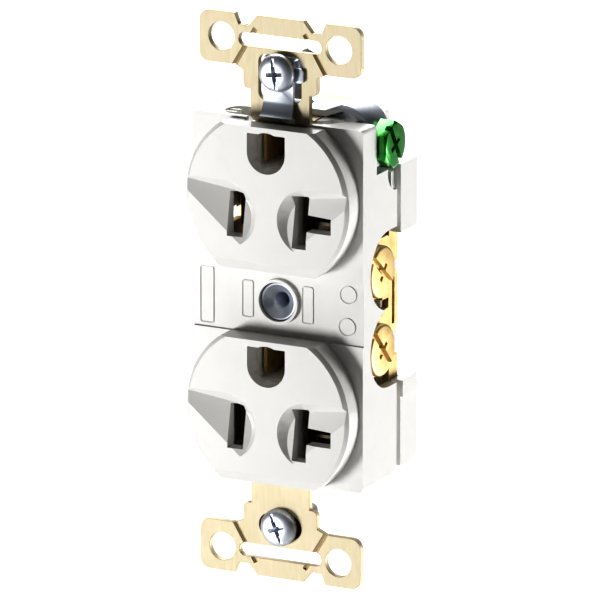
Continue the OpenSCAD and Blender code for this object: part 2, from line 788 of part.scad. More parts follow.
// Leaves that grip a blade; h is the blade slot's height and branch adds the side leaves.
module blade_contact(z, h, branch) {
    near = blade_t / 2;
    leaf_y = face_inner_y + 2.6;
    translate([blade_x, 0, z]) difference() {
        union() {
            block([-foot_in, contact_y, -foot_h / 2],
                [branch ? branch_reach - 1 : 2.4, contact_y + leaf_t, foot_h / 2]);
            block([-near - leaf_t, leaf_y, -h / 2 + 1], [-near, contact_y + eps, h / 2 - 1]);
            for (s = branch ? [0, 1] : [0]) mirror([0, 0, s])
                block([near, leaf_y, branch ? near + leaf_t : -h / 2 + 1],
                    [near + leaf_t, contact_y + eps, h / 2 - 1]);
            if (branch) for (s = [0, 1]) mirror([0, 0, s])
                block([near, leaf_y, near], [branch_reach - 1, contact_y + eps, near + leaf_t]);
        }
        rod_y(0, 0, rivet_r + seat_gap, contact_y - 1, foot_back);
    }
}

module contact_rivets() {
    color(brass) both_sides() for (z = blade_z) {
        rod_y(blade_x, z, rivet_r, contact_y, foot_back);
        rod_y(blade_x, z, 1.9, foot_back, foot_back + head_t);
    }
}

// U-shaped contact that grips a ground pin, riveted through the housing to the strap.
module ground_contact(z) {
    near = ground_gap / 2;
    leaf_y = face_inner_y + 2;
    translate([0, 0, z]) difference() {
        union() {
            block([-near - leaf_t, floor_y - leaf_t, -2.6], [near + leaf_t, floor_y, 2.6]);
            both_sides() block([near, leaf_y, -2.6], [near + leaf_t, floor_y, 2.6]);
        }
        rod_y(0, 0, rivet_r + seat_gap, floor_y - 2, floor_y + 1);
    }
}

module ground_contact_rivets() {
    color(nickel) for (z = pin_z) {
        rod_y(0, z, rivet_r, floor_y - leaf_t, strap_back);
        rod_y(0, z, 1.9, floor_y - leaf_t - head_t, floor_y - leaf_t);
        rod_y(0, z, 2, strap_back, strap_back + head_t);
    }
}

module neutral_bus() { color(brass) bus_bar(); }
module line_bus() { color(brass) mirror([1, 0, 0]) bus_bar(); }
module neutral_contact_upper() { color(brass) blade_contact(blade_z[0], neutral_slot_h, true); }
module neutral_contact_lower() { color(brass) blade_contact(blade_z[1], neutral_slot_h, true); }
module line_contact_upper() {
    color(brass) mirror([1, 0, 0]) blade_contact(blade_z[0], hot_slot_h, false);
}
module line_contact_lower() {
    color(brass) mirror([1, 0, 0]) blade_contact(blade_z[1], hot_slot_h, false);
}
module ground_contact_upper() { color(brass) ground_contact(pin_z[0]); }
module ground_contact_lower() { color(brass) ground_contact(pin_z[1]); }

front_cover();
rear_housing();
mounting_strap();
ground_lug();
lug_rivet();
self_grounding_clip();
upper_box_screw();
lower_box_screw();
lower_screw_washer();
center_rivet();
line_bus();
neutral_bus();
line_contact_upper();
line_contact_lower();
neutral_contact_upper();
neutral_contact_lower();
contact_rivets();
ground_contact_upper();
ground_contact_lower();
ground_contact_rivets();
line_screw_upper();
line_screw_lower();
neutral_screw_upper();
neutral_screw_lower();
ground_screw();
housing_screws();
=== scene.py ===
# %% [markdown]
# # A duplex wall outlet
# The model of this outlet arrives as a fixed frame: every piece has its true size and place, but
# plain sharp edges and no finish. This lesson gives the sheet metal and the mouldings their
# rounded edges, models the screws, the spring clip and the centre tube again with their real
# detail, and makes one material for each real finish. Blender counts in metres. A size in
# millimetres is multiplied by MM where it is handed to Blender, and a helper that takes
# millimetres says so.

# %% Load the frame
import bmesh
import bpy
import math
from mathutils import Matrix, Vector


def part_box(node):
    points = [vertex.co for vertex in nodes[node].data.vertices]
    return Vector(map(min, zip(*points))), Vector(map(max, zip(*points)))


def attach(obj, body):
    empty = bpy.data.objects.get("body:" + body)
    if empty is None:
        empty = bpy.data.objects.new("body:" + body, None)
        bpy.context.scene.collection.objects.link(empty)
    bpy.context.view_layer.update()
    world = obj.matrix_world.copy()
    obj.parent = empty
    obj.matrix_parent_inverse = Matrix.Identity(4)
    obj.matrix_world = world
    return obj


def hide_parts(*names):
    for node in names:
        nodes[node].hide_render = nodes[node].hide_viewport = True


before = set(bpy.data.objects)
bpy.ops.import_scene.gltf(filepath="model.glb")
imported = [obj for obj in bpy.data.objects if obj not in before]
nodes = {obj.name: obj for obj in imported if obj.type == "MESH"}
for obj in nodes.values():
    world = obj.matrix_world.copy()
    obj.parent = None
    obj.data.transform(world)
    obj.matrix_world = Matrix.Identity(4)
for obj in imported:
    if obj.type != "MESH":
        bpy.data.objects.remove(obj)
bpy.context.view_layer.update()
MM = 0.001

# %% [markdown]
# ## The camera
# The outlet is seen a little from the right and a little from above, with almost no perspective,
# which is how a catalogue shows small hardware. A very long lens from far away does that.

# %% Make the camera
VIEW_AZIMUTH, VIEW_ELEVATION = math.radians(27.1), math.radians(15.45)
VIEW_DISTANCE = 1.843
LENS_LENGTH = 627.1
AIM = Vector((4.46, -1.0, 0.92)) * MM


def direction(azimuth, elevation):
    """The unit vector from the outlet towards an azimuth, 0 in front, and an elevation."""
    flat = math.cos(elevation)
    return Vector((math.sin(azimuth) * flat, -math.cos(azimuth) * flat, math.sin(elevation)))


def link(name, data):
    """Puts new data into the scene as an object."""
    obj = bpy.data.objects.new(name, data)
    bpy.context.scene.collection.objects.link(obj)
    return obj


def look_from(obj, place, aim):
    """Moves a camera or a light to a place and turns it towards the aim."""
    obj.location = place
    obj.rotation_mode = "QUATERNION"
    obj.rotation_quaternion = (aim - place).to_track_quat("-Z", "Y")


camera = link("camera", bpy.data.cameras.new("camera"))
camera.data.sensor_width = 36
camera.data.lens = LENS_LENGTH
camera.data.clip_end = 60
look_from(camera, AIM + direction(VIEW_AZIMUTH, VIEW_ELEVATION) * VIEW_DISTANCE, AIM)
bpy.context.scene.camera = camera
print("camera at", [round(x, 3) for x in camera.location])

# %% [markdown]
# ## Light and floor
# White glossy plastic on a white ground needs light from few sides, or its edges vanish. A small
# soft box stands low in front on the left and whitens all that faces forward. A broader one
# behind on the left, well above, whitens the top. A third one lies low on the right, slightly
# behind, and brings out the side wall and the brass screws. A very large one hangs over the
# stretch of ground behind the outlet that the camera sees, and turns it white. The room itself
# stays dim, so that slots and recesses stay dark. The Standard view keeps white plastic white,
# where the default one would grey it, and its High Contrast look deepens the thin shadows between
# the pieces. The floor lies well below, because an outlet hangs in a wall and stands on nothing.

# %% Place the lights and the floor
bpy.context.scene.view_settings.view_transform = "Standard"
bpy.context.scene.view_settings.look = "High Contrast"


def around(azimuth, elevation, distance):
    """A place round the outlet, from two angles in degrees and a distance in metres."""
    return direction(math.radians(azimuth), math.radians(elevation)) * distance


def soft_box(name, place, aim, size, watts):
    """A square area light, its side in metres, that faces its aim and isn't seen itself."""
    lamp = bpy.data.lights.new(name, "AREA")
    lamp.energy = watts
    lamp.size = size
    obj = link(name, lamp)
    look_from(obj, place, aim)
    obj.visible_camera = False


OUTLET = Vector()
soft_box("key_light", around(-40, -16, 1.1), OUTLET, 0.3, 7.8)
soft_box("side_light", around(120, -26, 1.0), OUTLET, 0.5, 10.0)
soft_box("back_light", around(-140, 50, 1.1), OUTLET, 0.7, 9.0)
GROUND_SEEN, GROUND_LIGHT_RISE = Vector((-1.2, 2.4, 0)), Vector((0, 0, 1.1))
soft_box("ground_light", GROUND_SEEN + GROUND_LIGHT_RISE, GROUND_SEEN, 2.6, 60)

ROOM_STRENGTH = 0.04
world = bpy.data.worlds.new("dim_room")
world.use_nodes = True
world.node_tree.nodes["Background"].inputs["Color"].default_value = (1, 1, 1, 1)
world.node_tree.nodes["Background"].inputs["Strength"].default_value = ROOM_STRENGTH
bpy.context.scene.world = world

FLOOR_Z = -0.62
bpy.ops.mesh.primitive_plane_add(size=14, location=(0, 0, FLOOR_Z))
floor = bpy.context.object
floor.name = "floor"
print("floor", FLOOR_Z, "m below the outlet's middle")

# %% [markdown]
# ## Colours and nodes
# Colours are written as the hex values that a painter would pick, which are meant for a screen.
# Shaders count in linear light, so one function turns them. A second small function adds one
# shader node with its settings, its numbers and its links.


# %% Define the colour and node helpers
def colour(hex_value):
    """An sRGB hex colour as linear red, green, blue and alpha."""
    parts = [int(hex_value[i:i + 2], 16) / 255 for i in (1, 3, 5)]
    linear = [c / 12.92 if c <= 0.04045 else ((c + 0.055) / 1.055) ** 2.4 for c in parts]
    return (*linear, 1.0)


def add(tree, kind, settings=None, numbers=None, links=None):
    """Adds one shader node: its settings, the numbers on its sockets, and what feeds them."""
    node = tree.nodes.new(kind)
    for name, value in (settings or {}).items():
        setattr(node, name, value)
    for name, value in (numbers or {}).items():
        node.inputs[name].default_value = value
    for name, source in (links or {}).items():
        tree.links.new(source, node.inputs[name])
    return node


print("mid grey #808080 is", round(colour("#808080")[0], 3), "in linear light")

# %% [markdown]
# ## Finishes
# All the finishes share one build. A noise in the piece's own space, stretched along the rolling
# or flow direction where there is one, shifts the colour between two close tones and shifts the
# roughness a little, and a finer noise makes the bump. What differs is its two tones, the size of
# its grain in millimetres, its roughness and its metal, taken from the real thing except where painted
# shade or a painted highlight is named below.

# %% Define the shared finish
# Where a Mix node keeps its two colours and its mixed colour, among sockets of the same name.
MIX_A, MIX_B, MIX_OUT = 6, 7, 2


def finish(name, light, dark, grain, rough, metallic=0.0, stretch=(1, 1, 1), bump=0.0, fine=0.1,
           ior=1.5, coat=0.0, tint=None, tint_size=4.0):
    """A material of two close tones. Grain, fine and tint_size in millimetres, bump in metres."""
    made = bpy.data.materials.new(name)
    made.use_nodes = True
    tree = made.node_tree
    shader = tree.nodes["Principled BSDF"]
    place = add(tree, "ShaderNodeTexCoord").outputs["Object"]
    along = add(tree, "ShaderNodeMapping", numbers={"Scale": stretch}, links={"Vector": place})
    blotch = add(tree, "ShaderNodeTexNoise", numbers={"Scale": 1 / (grain * MM), "Detail": 5,
                 "Roughness": 0.6}, links={"Vector": along.outputs["Vector"]})
    tone = add(tree, "ShaderNodeMix", {"data_type": "RGBA"}, links={"Factor": blotch.outputs["Fac"]})
    tone.inputs[MIX_A].default_value = colour(light)
    tone.inputs[MIX_B].default_value = colour(dark)
    base = tone.outputs[MIX_OUT]
    if tint:
        cloud = add(tree, "ShaderNodeTexNoise", numbers={"Scale": 1 / (tint_size * MM), "Detail": 2},
                    links={"Vector": place})
        share = add(tree, "ShaderNodeMapRange", numbers={"From Min": 0.45, "From Max": 0.75,
                    "To Min": 0.0, "To Max": 0.55}, links={"Value": cloud.outputs["Fac"]})
        tinted = add(tree, "ShaderNodeMix", {"data_type": "RGBA"},
                     links={"Factor": share.outputs["Result"]})
        tree.links.new(base, tinted.inputs[MIX_A])
        tinted.inputs[MIX_B].default_value = colour(tint)
        base = tinted.outputs[MIX_OUT]
    tree.links.new(base, shader.inputs["Base Color"])
    gloss = add(tree, "ShaderNodeMapRange", numbers={"To Min": rough[0], "To Max": rough[1]},
                links={"Value": blotch.outputs["Fac"]})
    tree.links.new(gloss.outputs["Result"], shader.inputs["Roughness"])
    grit = add(tree, "ShaderNodeTexNoise", numbers={"Scale": 1 / (fine * MM), "Detail": 3},
               links={"Vector": along.outputs["Vector"]})
    relief = add(tree, "ShaderNodeBump", numbers={"Strength": 0.5, "Distance": bump},
                 links={"Height": grit.outputs["Fac"]})
    tree.links.new(relief.outputs["Normal"], shader.inputs["Normal"])
    shader.inputs["Metallic"].default_value = metallic
    if metallic < 0.5:
        shader.inputs["IOR"].default_value = ior
    shader.inputs["Coat Weight"].default_value = coat
    return made


print("the shared finish reads its patterns in the piece's own space")

# %% Make the finishes
# Injection-moulded nylon: glossy, faintly warm white, with a barely uneven skin from the mould.
nylon = finish("moulded_nylon", "#E4E3E0", "#DCDBD8", 3.0, (0.16, 0.26), bump=0.004 * MM, fine=0.8,
               ior=1.53, coat=0.15)
# Rolled steel in yellow-passivated zinc: pale gold that drifts to a pinkish cream in patches.
yellow_zinc = finish("yellow_zinc_steel", "#C9C0A6", "#BAAE8E", 0.5, (0.5, 0.62), metallic=0.4,
                     stretch=(1, 1, 0.12), bump=0.004 * MM, fine=0.12, tint="#C8B8A2", tint_size=5)
# The same sheet where it was sheared: the film is thicker there, and golden brown.
sheared_zinc = finish("sheared_zinc_edge", "#B48A3E", "#7E5A22", 0.6, (0.35, 0.5), metallic=0.7,
                      bump=0.01 * MM, fine=0.1)
# Steel in bright clear zinc: a cool, slightly blue grey with fine draw marks.
bright_zinc = finish("bright_zinc_steel", "#DDE1EA", "#B9BEC9", 0.4, (0.36, 0.5), metallic=0.85,
                     stretch=(1, 1, 0.3), bump=0.004 * MM, fine=0.1)
# Steel strip that was rolled and stamped: duller and a little darker than the screws.
strip_steel = finish("rolled_strip_steel", "#D5DAE3", "#A8AEB9", 0.6, (0.36, 0.5), metallic=0.85,
                     stretch=(0.15, 1, 1), bump=0.004 * MM, fine=0.15)
# Half-hard brass: pale yellow metal with a trace of brown where the lacquer is thick.
brass = finish("lacquered_brass", "#DCCB9C", "#C0A066", 0.5, (0.42, 0.54), metallic=0.85,
               stretch=(1, 1, 0.4), bump=0.004 * MM, fine=0.1, tint="#B48B4E", tint_size=2.5)
# Brass strip that springs against the blades, painted a dull brown grey: painted shade that keeps it
# dark inside the slots.
slot_shade_brass = finish("brass_strip_painted_slot_shade", "#6E6350", "#4E4538", 0.5, (0.5, 0.62), metallic=0.8,
                    stretch=(1, 1, 0.4), bump=0.004 * MM, fine=0.1)
# Zinc-plated steel under a transparent green dye, deep green in the shade; its yellow-green patches are
# a painted highlight, scattered at random.
green_dye_and_painted_sheen = finish("green_dyed_zinc_steel_and_painted_sheen", "#2E9A3C", "#1B6E2A", 0.5, (0.18, 0.3), metallic=0.8,
                   bump=0.005 * MM, fine=0.12, coat=0.5, tint="#58B53A", tint_size=1.5)
# Vulcanised fibre: a hard, matt, red-brown sheet made of pressed paper.
fibre = finish("vulcanised_fibre", "#8F5237", "#6F3B27", 0.3, (0.7, 0.85), bump=0.02 * MM, fine=0.15)
# Seamless paper ground: matt and almost white.
paper = finish("paper_ground", "#F8F8F7", "#F2F2F1", 30.0, (0.85, 0.95))
floor.data.materials.append(paper)
print(len(bpy.data.materials), "materials")

# %% [markdown]
# ## Rounded edges on the CAD pieces
# A sharp edge is invisible to light: real mouldings have a radius of a few tenths of a
# millimetre, and stamped sheet has a rolled edge, and both draw the thin bright and dark lines
# that make a piece readable. The CAD meshes are loose triangles, so the modifiers first weld
# them, then dissolve the flat areas into whole faces, and only then bevel what is left.


# %% Soften the CAD pieces and give them their finish
def round_edges(obj, radius):
    """Welds, flattens and bevels a mesh with live modifiers. The radius is in millimetres."""
    weld = obj.modifiers.new("weld", "WELD")
    weld.merge_threshold = 0.001 * MM
    flat = obj.modifiers.new("flat_areas", "DECIMATE")
    flat.decimate_type = "DISSOLVE"
    flat.angle_limit = math.radians(1.5)
    bevel = obj.modifiers.new("rounded_edges", "BEVEL")
    bevel.width = radius * MM
    bevel.segments = 3
    bevel.limit_method = "ANGLE"
    bevel.angle_limit = math.radians(28)
    bevel.harden_normals = True
    bevel.miter_outer = "MITER_ARC"
    return bevel


def paint(obj, material):
    """Gives a piece one material."""
    obj.data.materials.clear()
    obj.data.materials.append(material)


# The finish of each kept piece, and the radius of its edges in millimetres.
KEPT = {
    "front_cover": (nylon, 0.35),
    "rear_housing": (nylon, 0.25),
    "mounting_strap": (yellow_zinc, 0.2),
    "ground_lug": (strip_steel, 0.12),
    "lug_rivet": (bright_zinc, 0.1),
    "lower_screw_washer": (fibre, 0.08),
    "line_bus": (brass, 0.1),
    "neutral_bus": (brass, 0.1),
    # The contact strips and their rivets sit inside the slots and take the brass with painted shade.
    "line_contact_upper": (slot_shade_brass, 0.08),
    "line_contact_lower": (slot_shade_brass, 0.08),
    "neutral_contact_upper": (slot_shade_brass, 0.08),
    "neutral_contact_lower": (slot_shade_brass, 0.08),
    "contact_rivets": (slot_shade_brass, 0.12),
    "ground_contact_upper": (brass, 0.08),
    "ground_contact_lower": (brass, 0.08),
    "ground_contact_rivets": (bright_zinc, 0.15),
}
for name, (material, radius) in KEPT.items():
    paint(nodes[name], material)
    bevel = round_edges(nodes[name], radius)
    if material is yellow_zinc:
        # The second slot colours the faces that the bevel makes.
        nodes[name].data.materials.append(sheared_zinc)
        bevel.material = 1
print(len(KEPT), "CAD pieces rounded and painted")

# %% [markdown]
# ## Tools for modelling by operator
# Every new piece is modelled as by hand: a primitive, edit mode, a few operators on what is
# selected, and then modifiers. These helpers deselect everything first, because the loaded CAD
# pieces are still selected, and pick faces or edges in code by where they lie.


# %% Define the modelling helpers
def object_mode():
    """Leaves edit mode and deselects everything."""
    if bpy.context.mode != "OBJECT":
        bpy.ops.object.mode_set(mode="OBJECT")
    bpy.ops.object.select_all(action="DESELECT")


def choose(*objs):
    """Selects just these objects, the first one active."""
    object_mode()
    for obj in objs:
        obj.select_set(True)
    bpy.context.view_layer.objects.active = objs[0]


def edit(obj, kind, test):
    """Enters edit mode and selects the faces or edges whose middle and normal pass the test."""
    choose(obj)
    bpy.ops.object.mode_set(mode="EDIT")
    bpy.ops.mesh.select_mode(type=kind)
    pick(obj, kind, test)


def pick(obj, kind, test):
    """Selects again, inside edit mode."""
    bpy.ops.mesh.select_all(action="DESELECT")
    mesh = bmesh.from_edit_mesh(obj.data)
    for part in mesh.faces if kind == "FACE" else mesh.edges:
        if kind == "FACE":
            part.select_set(bool(test(part.calc_center_median(), part.normal)))
        else:
            a, b = part.verts[0].co, part.verts[1].co
            part.select_set(bool(test((a + b) / 2, b - a)))
    mesh.select_flush_mode()
    bmesh.update_edit_mesh(obj.data)


def applied(obj, kind, **settings):
    """Adds a modifier with these settings and applies it."""
    choose(obj)
    modifier = obj.modifiers.new(kind.lower(), kind)
    for name, value in settings.items():
        setattr(modifier, name, value)
    bpy.ops.object.modifier_apply(modifier=modifier.name)


def cut(obj, cutter):
    """Takes the cutter's shape out of a piece and throws the cutter away."""
    applied(obj, "BOOLEAN", operation="DIFFERENCE", object=cutter, solver="EXACT")
    bpy.data.objects.remove(cutter)


def joined(name, *objs):
    """Joins pieces into the first one and names it."""
    choose(*objs)
    bpy.ops.object.join()
    objs[0].name = name
    return objs[0]


def box_of(low, high):
    """A cube primitive between two corners given in millimetres."""
    low, high = Vector(low) * MM, Vector(high) * MM
    object_mode()
    bpy.ops.mesh.primitive_cube_add(size=1, location=(low + high) / 2, scale=high - low)
    bpy.ops.object.transform_apply(location=True, rotation=True, scale=True)
    return bpy.context.object


def rod(radius, low, high, vertices=64):
    """A cylinder primitive on the Z axis between two heights, all in millimetres."""
    object_mode()
    bpy.ops.mesh.primitive_cylinder_add(
        vertices=vertices, radius=radius * MM, depth=(high - low) * MM,
        location=(0, 0, (low + high) / 2 * MM))
    bpy.ops.object.transform_apply(location=True, rotation=True, scale=True)
    return bpy.context.object


def placed(obj, matrix):
    """Moves a finished piece to its place and writes that place into its mesh."""
    choose(obj)
    obj.matrix_world = matrix
    bpy.ops.object.transform_apply(location=True, rotation=True, scale=True)
    return obj


def smooth(obj):
    """Shades a piece smooth except across its sharp edges."""
    choose(obj)
    bpy.ops.object.shade_smooth_by_angle(angle=math.radians(35))


def stand_in(obj, node, body, material):
    """Paints a new piece, shades it, and lets it stand for a CAD node on the node's body."""
    paint(obj, material)
    smooth(obj)
    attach(obj, body)
    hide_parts(node)


# %% [markdown]
# ## Threads
# A machine screw's thread shows where its shank leaves the head. It is a root cylinder with a
# ridge wound round it. The ridge starts as a four-cornered loop, squeezed to the section of the
# thread, and a Screw modifier winds it up by one pitch a turn. Its two open ends are filled, so
# that it is a closed body like any other.

# %% Define the threaded shank
# The 6-32 box screws and the 10-32 terminal screws both have 32 turns to the inch.
THREAD_PITCH = 25.4 / 32


def threaded_shank(radius, pitch, length):
    """A shank that hangs from the origin down -Z, with a 60-degree thread. Sizes in millimetres."""
    depth, half_ridge, into_head = pitch * 0.54, pitch * 0.46, 0.2
    root = rod(radius - depth, -length, into_head, 32)
    edit(root, "EDGE", lambda p, d: p.z < -length * MM + 1e-5)
    bpy.ops.mesh.bevel(offset=depth * MM, segments=1)
    turns = int((length - pitch * 1.6) / pitch)
    object_mode()
    bpy.ops.mesh.primitive_circle_add(vertices=4, radius=1)
    ridge = bpy.context.object
    squeeze = Matrix.Diagonal((depth * MM, half_ridge * MM, 1, 1))
    foot = Matrix.Translation(Vector((radius - depth, 0, pitch * 0.9 - length)) * MM)
    placed(ridge, foot @ Matrix.Rotation(math.pi / 2, 4, "X") @ squeeze)
    applied(ridge, "SCREW", axis="Z", angle=math.radians(360), screw_offset=pitch * MM,
            iterations=turns, steps=28, render_steps=28, use_smooth_shade=True)
    edit(ridge, "EDGE", lambda p, d: False)
    bpy.ops.mesh.select_all(action="SELECT")
    bpy.ops.mesh.fill_holes(sides=4)
    bpy.ops.mesh.select_all(action="SELECT")
    bpy.ops.mesh.normals_make_consistent(inside=False)
    return joined("shank", root, ridge)


print("thread pitch", round(THREAD_PITCH, 3), "mm")

# %% [markdown]
# ## Drive recesses
# The heads take either a flat or a cross-point driver. The cross is cut with a block that is
# narrower at its foot, once along and once across, and the slot with an almost straight one.


# %% Define the recess cutters
def tapered_block(length, width, low, high, taper):
    """A block along X whose lower end is smaller by the taper. Sizes in millimetres."""
    block = box_of((-length / 2, -width / 2, low), (length / 2, width / 2, high))
    edit(block, "FACE", lambda p, n: n.z < -0.9)
    bpy.ops.transform.resize(value=(taper, taper, 1))
    object_mode()
    return block


def cut_drive(head, top, cross, slot_width, slot_depth, slot_length):
    """Cuts a cross recess and a driver slot into a head whose top is at this height."""
    wing_width, wing_depth, taper = cross * 0.26, cross * 0.42, 0.35
    for turn in (0, math.pi / 2):
        wing = tapered_block(cross, wing_width, top - wing_depth, top + 1, taper)
        cut(head, placed(wing, Matrix.Rotation(turn, 4, "Z")))
    cut(head, tapered_block(slot_length, slot_width, top - slot_depth, top + 1, 0.96))


print("a recess is cut by two crossed wings and one slot")

# %% [markdown]
# ## The box screws
# The two captive screws that hold the outlet in its box have a low domed head. A cylinder gives
# the rim. Its top face is inset and raised in steps that follow an arc, which makes the dome. The
# recesses are cut into it next, and only the edges of the rim are rounded after that.


# %% Model the box screws
def domed_head(radius, rim, height):
    """A head on the Z axis from 0 up, with a rim and a dome on it. Sizes in millimetres."""
    head = rod(radius, 0, rim)
    edit(head, "FACE", lambda p, n: n.z > 0.9)
    rise = height - rim
    flat, steps = radius * 0.45, 5
    for i in range(steps):
        a, b = (math.pi / 2 * (i + k) / steps for k in (0, 1))
        bpy.ops.mesh.inset(thickness=(radius - flat) * (math.cos(a) - math.cos(b)) * MM)
        bpy.ops.transform.translate(value=(0, 0, rise * (math.sin(b) - math.sin(a)) * MM))
    return head


def sizes(node):
    """The box of a CAD node in millimetres: lowest corner, highest corner and middle."""
    low, high = (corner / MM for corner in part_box(node))
    return low, high, (low + high) / 2


# How far each screw was last turned, in degrees.
BOX_SCREW_TURNS = {"upper_box_screw": 8, "lower_box_screw": 22}
BOX_SCREW_R, BOX_RIM, BOX_CROSS = 1.74, 0.7, 4.2
for name, turn in BOX_SCREW_TURNS.items():
    low, high, middle = sizes(name)
    head_height, head_radius = 1.9, (high.x - low.x) / 2
    head = domed_head(head_radius, BOX_RIM, head_height)
    cut_drive(head, head_height, BOX_CROSS, 0.6, 0.4, head_radius * 1.7)
    edit(head, "EDGE", lambda p, d: abs(p.z - BOX_RIM * MM) < 1e-6 or p.z < 1e-6)
    bpy.ops.mesh.bevel(offset=0.15 * MM, segments=2)
    shank = threaded_shank(BOX_SCREW_R, THREAD_PITCH, high.y - low.y - head_height)
    screw = joined(name + "_detailed", head, shank)
    seat = Vector((middle.x, low.y + head_height, middle.z)) * MM
    last_turn = Matrix.Rotation(math.radians(90 + turn), 4, "Z")
    towards_front = Matrix.Rotation(math.pi / 2, 4, "X") @ last_turn
    placed(screw, Matrix.Translation(seat) @ towards_front)
    stand_in(screw, name, name, bright_zinc)

# %% [markdown]
# ## The terminal screws
# The four wiring screws have a large flat head, rounded off at its top, with a cross recess and
# a slot that runs out at both sides. One is modelled, and all four are copies of it with a mesh
# of their own, each turned by its own angle, because no two screws stop alike.

# %% Model the terminal screws
# The finish, the record's slot and the turn in degrees of each screw.
TERMINAL_TURNS = {
    "neutral_screw_upper": (brass, "brass", 50),
    "neutral_screw_lower": (brass, "brass", 42),
    "line_screw_upper": (bright_zinc, "screw_steel", 20),
    "line_screw_lower": (bright_zinc, "screw_steel", 75),
}
TERMINAL_SCREW_R, TERMINAL_CROSS = 2.39, 4.6
low, high, middle = sizes("neutral_screw_upper")
head_height, head_radius = 1.9, (high.z - low.z) / 2
master = rod(head_radius, 0, head_height)
edit(master, "EDGE", lambda p, d: p.z > (head_height - 0.01) * MM)
bpy.ops.mesh.bevel(offset=0.55 * MM, segments=3)
cut_drive(master, head_height, TERMINAL_CROSS, 1.3, 0.95, head_radius * 2.2)
edit(master, "EDGE", lambda p, d: p.z < 1e-6)
bpy.ops.mesh.bevel(offset=0.15 * MM, segments=2)
shank = threaded_shank(TERMINAL_SCREW_R, THREAD_PITCH, high.x - low.x - head_height)
master = joined("terminal_screw", master, shank)
for name, (material, slot, turn) in TERMINAL_TURNS.items():
    low, high, middle = sizes(name)
    side = 1 if middle.x > 0 else -1
    outer = high.x if side > 0 else low.x
    seat = Vector((outer - side * head_height, middle.y, middle.z)) * MM
    screw = link(name + "_detailed", master.data.copy())
    outwards = Matrix.Rotation(side * math.pi / 2, 4, "Y")
    placed(screw, Matrix.Translation(seat) @ outwards @ Matrix.Rotation(math.radians(turn), 4, "Z"))
    stand_in(screw, name, name, material)
bpy.data.objects.remove(master)
print("terminal screws", list(TERMINAL_TURNS))

# %% [markdown]
# ## The ground screw
# The ground screw has a washerless hexagon head. A six-sided cylinder gives it, its top corners
# are turned off by a cone, as on a lathe, and the slot and the cross are cut as before.

# %% Model the ground screw
low, high, middle = sizes("ground_screw")
head_height, corners = 3.0, (high.z - low.z) / 2
head = rod(corners, 0, head_height, 6)
object_mode()
bpy.ops.mesh.primitive_cone_add(
    vertices=64, radius1=corners * 2.2 * MM, radius2=corners * 0.86 * MM, depth=corners * 0.8 * MM,
    location=(0, 0, (head_height - corners * 0.4 + 0.02) * MM))
bpy.ops.object.transform_apply(location=True, rotation=True, scale=True)
turned = bpy.context.object
applied(head, "BOOLEAN", operation="INTERSECT", object=turned, solver="EXACT")
bpy.data.objects.remove(turned)
applied(head, "BEVEL", width=0.18 * MM, segments=2, limit_method="ANGLE", angle_limit=math.radians(30))
cut_drive(head, head_height, TERMINAL_CROSS, 1.2, 1.1, corners * 2.4)
shank = threaded_shank(TERMINAL_SCREW_R, THREAD_PITCH, high.x - low.x - head_height)
screw = joined("ground_screw_detailed", head, shank)
seat = Vector((high.x - head_height, middle.y, middle.z)) * MM
corner_up = Matrix.Rotation(math.pi / 2, 4, "Y") @ Matrix.Rotation(math.pi / 6, 4, "Z")
placed(screw, Matrix.Translation(seat) @ corner_up)
# The ground screw takes the green dye with its patches of painted highlight.
stand_in(screw, "ground_screw", "ground_screw", green_dye_and_painted_sheen)
print("ground screw faces", len(screw.data.polygons))

# %% [markdown]
# ## The cup of the centre tube
# The plate screw goes into a threaded tube whose front end is flared into a shallow cup. A
# turned piece is drawn as half of its section and spun round its axis.


# %% Model the centre tube
def spun(name, section):
    """Turns a closed section, given as radius and height in millimetres, round the Z axis."""
    object_mode()
    bpy.ops.mesh.primitive_plane_add(size=1)
    piece = bpy.context.object
    piece.name = name
    bpy.ops.object.mode_set(mode="EDIT")
    bpy.ops.mesh.delete(type="VERT")
    mesh = bmesh.from_edit_mesh(piece.data)
    corners = [mesh.verts.new((r * MM, 0, h * MM)) for r, h in section]
    for a, b in zip(corners, corners[1:] + corners[:1]):
        mesh.edges.new((a, b))
    bmesh.update_edit_mesh(piece.data)
    bpy.ops.mesh.select_all(action="SELECT")
    bpy.ops.mesh.spin(steps=64, angle=2 * math.pi, center=(0, 0, 0), axis=(0, 0, 1))
    bpy.ops.mesh.select_all(action="SELECT")
    bpy.ops.mesh.remove_doubles(threshold=1e-7)
    bpy.ops.mesh.normals_make_consistent(inside=False)
    object_mode()
    return piece


low, high, middle = sizes("center_rivet")
length, cup_radius, bore, wall = high.y - low.y, 3.4, 1.38, 2.3
# Radius and height along the bore, over the cup's lip, down the outside and round the back rim.
section = [(bore, -length), (bore, -1.75), (1.5, -1.5), (1.9, -1.1), (2.5, -0.6), (2.95, -0.14),
           (3.1, -0.02), (3.25, 0), (cup_radius, -0.15), (cup_radius, -0.95), (wall, -1.0),
           (wall, 0.7 - length), (3.2, 0.68 - length), (3.2, 0.2 - length), (2.9, -length)]
tube = spun("center_rivet_detailed", section)
tube_end = Matrix.Translation(Vector((middle.x, low.y, middle.z)) * MM)
placed(tube, tube_end @ Matrix.Rotation(math.pi / 2, 4, "X"))
stand_in(tube, "center_rivet", "housing", bright_zinc)
print("centre tube", round(length, 1), "mm long")

# %% [markdown]
# ## The self-grounding clip
# A springy strip of plated steel hooks round the upper box screw and presses it against the
# strap. From the front it shows a flat leaf under the screw's head, a crease, a flap that leans
# forward and a rolled lip, and at its top it folds back through the strap's window and down
# behind the strap. It starts as one narrow plane. Its lower edge and then its upper edge are
# extruded along the bends, Solidify gives it its thickness, and a small ear is joined on at the
# right.


# %% Model the clip
def fold(at, y, z):
    """Extrudes the selected edge from a place to a depth and a height, in millimetres."""
    step = Vector((0, y - at.y, z - at.z)) * MM
    bpy.ops.mesh.extrude_edges_move(TRANSFORM_OT_translate={"value": step})
    return Vector((0, y, z))


